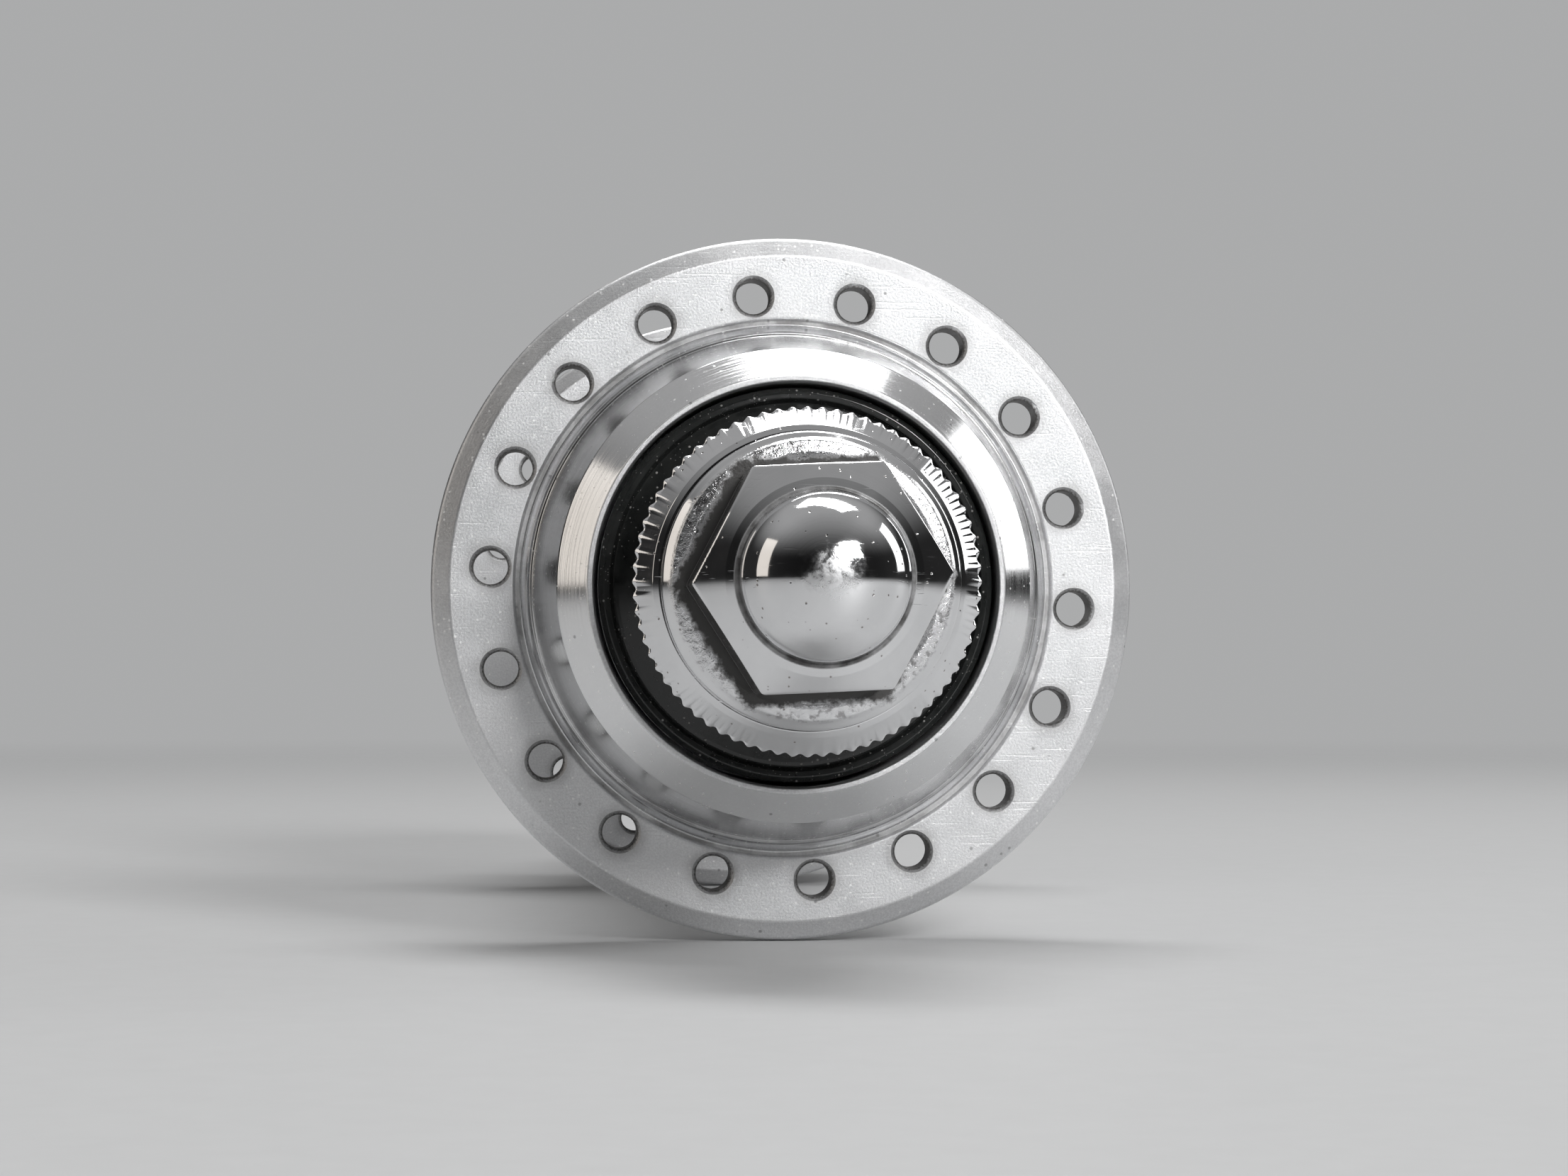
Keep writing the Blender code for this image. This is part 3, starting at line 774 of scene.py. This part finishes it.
def locknut(end, side, finish):
    """Thin hexagon nut, chamfered on both faces."""
    node = end + "_locknut"
    first, last = stations(node)
    corner = LOCKNUT_SPANNER / math.sqrt(3.0) - 0.1
    points = outline([
        (first, 5.6, 0.1), (first, corner - 1.5, 0.15), (first + 0.75, corner, 0.1),
        (last - 0.75, corner, 0.1), (last, corner - 1.5, 0.15), (last, 5.6, 0.1),
        (last - 0.4, AXLE_BORE, 0.1), (first + 0.4, AXLE_BORE, 0.1)])
    turned(node, dense(points, 0.15, first - 1, last + 1), side, finish, 240,
           flats(LOCKNUT_SPANNER, 6, 0.0, first - 1, last + 1))


def ring(node, side, finish, bore_edge, rim_edge, rule=None):
    """A plain ring on the axle, with rounded edges."""
    first, last = stations(node)
    rim = radius_of(node)
    points = outline([(first, AXLE_BORE, bore_edge), (first, rim, rim_edge),
                      (last, rim, rim_edge), (last, AXLE_BORE, bore_edge)])
    turned(node, points, side, finish, rule=rule)


def spacer(end, side, finish):
    ring(end + "_spacer", side, finish, 0.1, 0.2)


def key_washer(end, side, finish):
    """Washer with a tab that reaches into the axle's keyway, which faces up."""
    def rule(station, radius, angle):
        lean = np.abs((angle - math.pi / 2 + math.pi) % math.tau - math.pi)
        on_tab = (radius < AXLE_BORE + 0.3) & (lean < 0.2)
        return station, np.where(on_tab, radius - 1.15, radius)
    ring(end + "_key_washer", side, finish, 0.08, 0.15, rule)


def race(end, start, stop, count):
    """Arc of a bearing's race about the middle of a ball, between two angles in degrees."""
    middle = sum(stations(end + "_ball_1")) / 2
    return [(middle + RACE_RADIUS * math.cos(turn), BALL_CIRCLE + RACE_RADIUS * math.sin(turn))
            for turn in np.radians(np.linspace(start, stop, count))]


def bearing_cone(end, side, finish):
    """Cone with the inner race, and a body with two spanner flats outside the seal."""
    node = end + "_cone"
    inner, outer = stations(node)
    body = radius_of(node)
    arc = race(end, -108.0, -37.0, 14)
    points = [(inner, arc[0][1] - 0.3), (inner + 0.3, arc[0][1])] + arc
    points += outline([arc[-1], (arc[-1][0] + 0.3, body, 0.2), (outer, body, 0.35),
                       (outer, AXLE_BORE, 0.2), (inner, AXLE_BORE)], closed=False)[1:]
    seal_face = stations(end + "_dust_seal")[1]
    turned(node, dense(points, 0.2, seal_face - 1, outer + 1), side, finish, 180,
           flats(CONE_SPANNER, 2, 0.0, seal_face + 0.25, outer + 1))


def bearing_cup(end, side, finish):
    """Cup with the outer race."""
    node = end + "_bearing_cup"
    inner, outer = stations(node)
    body = radius_of(node)
    arc = race(end, 180.0, 72.0, 18)
    points = outline([(inner, body, 0.4), (inner, 7.4, 0.2), (arc[0][0], 7.4, 0.2), arc[0]], closed=False)
    points += arc[1:] + [(outer, arc[-1][1] + 0.1), (outer, body - 0.3), (outer - 0.3, body)]
    turned(node, points, side, finish)


def bearing_balls(end, finish):
    for index in range(BALLS):
        node = f"{end}_ball_{index + 1}"
        low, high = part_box(node)
        build = bmesh.new()
        bmesh.ops.create_icosphere(build, subdivisions=4, radius=(high.y - low.y) / 2)
        ball = finish_mesh(node + "_finished", build, finish, sharp=60.0)
        ball.location = (low + high) / 2
        stand_for(ball, node)


def dust_cap(end, side, finish):
    """Thin pressed ring with a turned-in lip."""
    node = end + "_dust_cap"
    first, last = stations(node)
    rim = radius_of(node)
    turned(node, outline([
        (first, rim, 0.1), (first, rim - 1.2, 0.1), (first + 0.5, rim - 1.25, 0.15),
        (first + 0.5, 9.6, 0.2), (last, 9.6, 0.2), (last, rim, 0.15)]), side, finish)


def dust_seal(end, side, finish):
    """Moulded ring, crowned, with a raised outer lip beyond a shallow groove."""
    node = end + "_dust_seal"
    first, face = stations(node)
    rim = radius_of(node)
    turned(node, outline([
        (first, rim - 0.1, 0.1), (first, 8.7, 0.1), (face - 0.05, 8.7, 0.1), (face - 0.05, 10.2, 0.4),
        (face - 0.2, 11.6, 0.6), (face - 0.6, 12.75, 0.3), (face - 0.65, 13.1, 0.15),
        (face - 0.05, 13.4, 0.12), (face, 13.8, 0.2), (face - 0.3, rim, 0.12)]), side, finish, 192)


def axle(finish):
    """Solid axle, its ends threaded M10 x 1, with a keyway that opens upwards along each end."""
    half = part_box("axle")[1].y / MM
    body = radius_of("axle")
    cone_end = stations("near_cone")[1]
    thread_start = cone_end - 1.5
    keyway_start = cone_end - 0.8
    points = outline([(0.0, body), (thread_start, body), (half - 0.9, body, 0.1),
                      (half, body - 0.9, 0.15), (half, 0.0)], closed=False)
    points = dense(points, 0.07, thread_start, half)
    points = [(-place, radius) for place, radius in reversed(points)] + points[1:]
    slot = math.atan2(KEYWAY_HALF_WIDTH, body)
    plain = np.linspace(math.pi / 2 + slot, math.pi / 2 - slot + math.tau, 72)
    inside = np.linspace(math.pi / 2 - slot + 0.002, math.pi / 2 + slot - 0.002, 5)

    def rule(place, radius, angle):
        out = np.abs(place)
        thread = thread_wave(place, angle, AXLE_THREAD, AXLE_THREAD_DEPTH, -half - 1, half + 1)
        fade = np.clip((out - thread_start) / 0.6, 0.0, 1.0) * (radius > 3.0)
        radius = radius - thread * fade
        lean = np.abs(angle - math.pi / 2)
        milled = (lean < slot - 0.001) & (out > keyway_start)
        floor = KEYWAY_FLOOR / np.cos(np.minimum(lean, 1.0))
        return place, np.where(milled, np.minimum(radius, floor), radius)
    turned("axle", points, 1, finish, np.concatenate([inside, plain]), rule, closed=False, sharp=60.0)


# ---------------------------------------------------------------- studio

def emitter(name, place, target, size, power, colour=(1.0, 1.0, 1.0)):
    """A soft rectangular lamp that faces its target."""
    lamp = bpy.data.lights.new(name, "AREA")
    lamp.shape = "RECTANGLE"
    lamp.size, lamp.size_y = size
    lamp.energy = power
    lamp.color = colour
    holder = bpy.data.objects.new(name, lamp)
    bpy.context.scene.collection.objects.link(holder)
    holder.location = place
    holder.rotation_euler = (Vector(target) - Vector(place)).to_track_quat("-Z", "Y").to_euler()


def studio_floor(height):
    """A pale round floor that fades out into the surroundings, well away from the hub."""
    build = bmesh.new()
    bmesh.ops.create_circle(build, cap_ends=True, segments=96, radius=0.8)
    bmesh.ops.translate(build, verts=build.verts, vec=(0.0, 0.0, height))
    paper = Finish("pale_floor", 0.0)
    grain = paper.noise(paper.place, 0.4, 4.0)
    paper.relief(grain, 0.03)
    colour = paper.tint(grain, (0.46, 0.463, 0.466), (0.49, 0.493, 0.496))
    material = paper.done(colour, 0.6, bump=0.2)
    tree = paper.tree
    away = paper.vector_length(paper.vector("MULTIPLY", paper.place, (1.0, 1.0, 0.0)))
    clear = paper.node("ShaderNodeBsdfTransparent")
    fade = paper.node("ShaderNodeMixShader", Fac=paper.ramp(away, 230.0, 640.0))
    tree.links.new(paper.shader.outputs[0], fade.inputs[1])
    tree.links.new(clear.outputs[0], fade.inputs[2])
    tree.links.new(fade.outputs[0], tree.nodes["Material Output"].inputs["Surface"])
    finish_mesh("studio_floor", build, material)


def surroundings():
    """Lights the hub darkly from the horizon and brightly from above, and looks plain and pale itself."""
    world = bpy.data.worlds.new("studio")
    bpy.context.scene.world = world
    world.use_nodes = True
    tree = world.node_tree
    tree.nodes.clear()

    def add(kind, **settings):
        made = tree.nodes.new(kind)
        for key, value in settings.items():
            setattr(made, key, value)
        return made

    def ramp(value, low, high, start, end):
        made = add("ShaderNodeMapRange", interpolation_type="SMOOTHSTEP")
        tree.links.new(value, made.inputs["Value"])
        for key, number in (("From Min", low), ("From Max", high), ("To Min", start), ("To Max", end)):
            made.inputs[key].default_value = number
        return made.outputs[0]

    def math_node(operation, first, second):
        made = add("ShaderNodeMath", operation=operation)
        tree.links.new(first, made.inputs[0])
        tree.links.new(second, made.inputs[1])
        return made.outputs[0]
    place = add("ShaderNodeTexCoord").outputs["Generated"]
    apart = add("ShaderNodeSeparateXYZ")
    tree.links.new(place, apart.inputs[0])
    height = apart.outputs["Z"]
    above = ramp(height, 0.30, 0.85, 0.03, 0.50)
    front = ramp(apart.outputs["Y"], -1.0, 0.0, 0.35, 1.0)
    below = ramp(height, -0.06, 0.0, 0.42, 0.0)
    strength = math_node("ADD", math_node("MULTIPLY", above, front), below)
    lit = add("ShaderNodeBackground")
    tree.links.new(strength, lit.inputs["Strength"])
    seen = add("ShaderNodeBackground")
    seen.inputs["Color"].default_value = (0.405, 0.408, 0.411, 1.0)
    switch = add("ShaderNodeMixShader")
    tree.links.new(add("ShaderNodeLightPath").outputs["Is Camera Ray"], switch.inputs[0])
    tree.links.new(lit.outputs[0], switch.inputs[1])
    tree.links.new(seen.outputs[0], switch.inputs[2])
    out = add("ShaderNodeOutputWorld")
    tree.links.new(switch.outputs[0], out.inputs["Surface"])


def camera():
    """Close in front of the near end, a little to its left and below the axle."""
    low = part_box("hub_shell")[0]
    target = Vector((0.0, low.y + NEAR_FACE_FROM_RIM * MM, 0.0))
    seen = bpy.data.cameras.new("camera")
    seen.sensor_width = 36.0
    seen.lens = 78.0
    seen.clip_start = 0.01
    seen.clip_end = 50.0
    holder = bpy.data.objects.new("camera", seen)
    bpy.context.scene.collection.objects.link(holder)
    holder.location = target - Vector((CAMERA_LEFT, CAMERA_AHEAD, CAMERA_BELOW))
    holder.rotation_euler = (target - holder.location).to_track_quat("-Z", "Y").to_euler()
    bpy.context.scene.camera = holder


def lights():
    emitter("window", (0.350, -0.765, 0.400), (0, -0.035, 0), (0.30, 0.24), 6.0)
    emitter("overhead", (0.05, 0.12, 0.75), (0, 0.05, 0), (0.60, 0.30), 4.0)
    emitter("fill_left", (-0.75, -0.15, 0.25), (0, 0, 0), (0.35, 0.50), 0.5, (1.0, 0.93, 0.85))
    emitter("strip_right", (0.70, 0.10, 0.30), (0, 0, 0), (0.30, 0.50), 1.0)


def main():
    zinc = zinc_steel()
    ground = ground_steel()
    black = black_seal()
    nut_chrome = chrome("nut_chrome", stations("near_cap_nut"))
    washer_chrome = chrome("washer_chrome")
    hub_shell()
    axle(zinc)
    for end, side in SIDES.items():
        cap_nut(end, side, nut_chrome)
        captive_washer(end, side, washer_chrome)
        locknut(end, side, zinc)
        spacer(end, side, zinc)
        key_washer(end, side, zinc)
        bearing_cone(end, side, ground)
        bearing_cup(end, side, ground)
        bearing_balls(end, ground)
        dust_cap(end, side, zinc)
        dust_seal(end, side, black)
    studio_floor(cad_box[0].z - 0.0001)
    surroundings()
    lights()
    camera()
    bpy.context.scene.view_settings.view_transform = "Standard"


main()
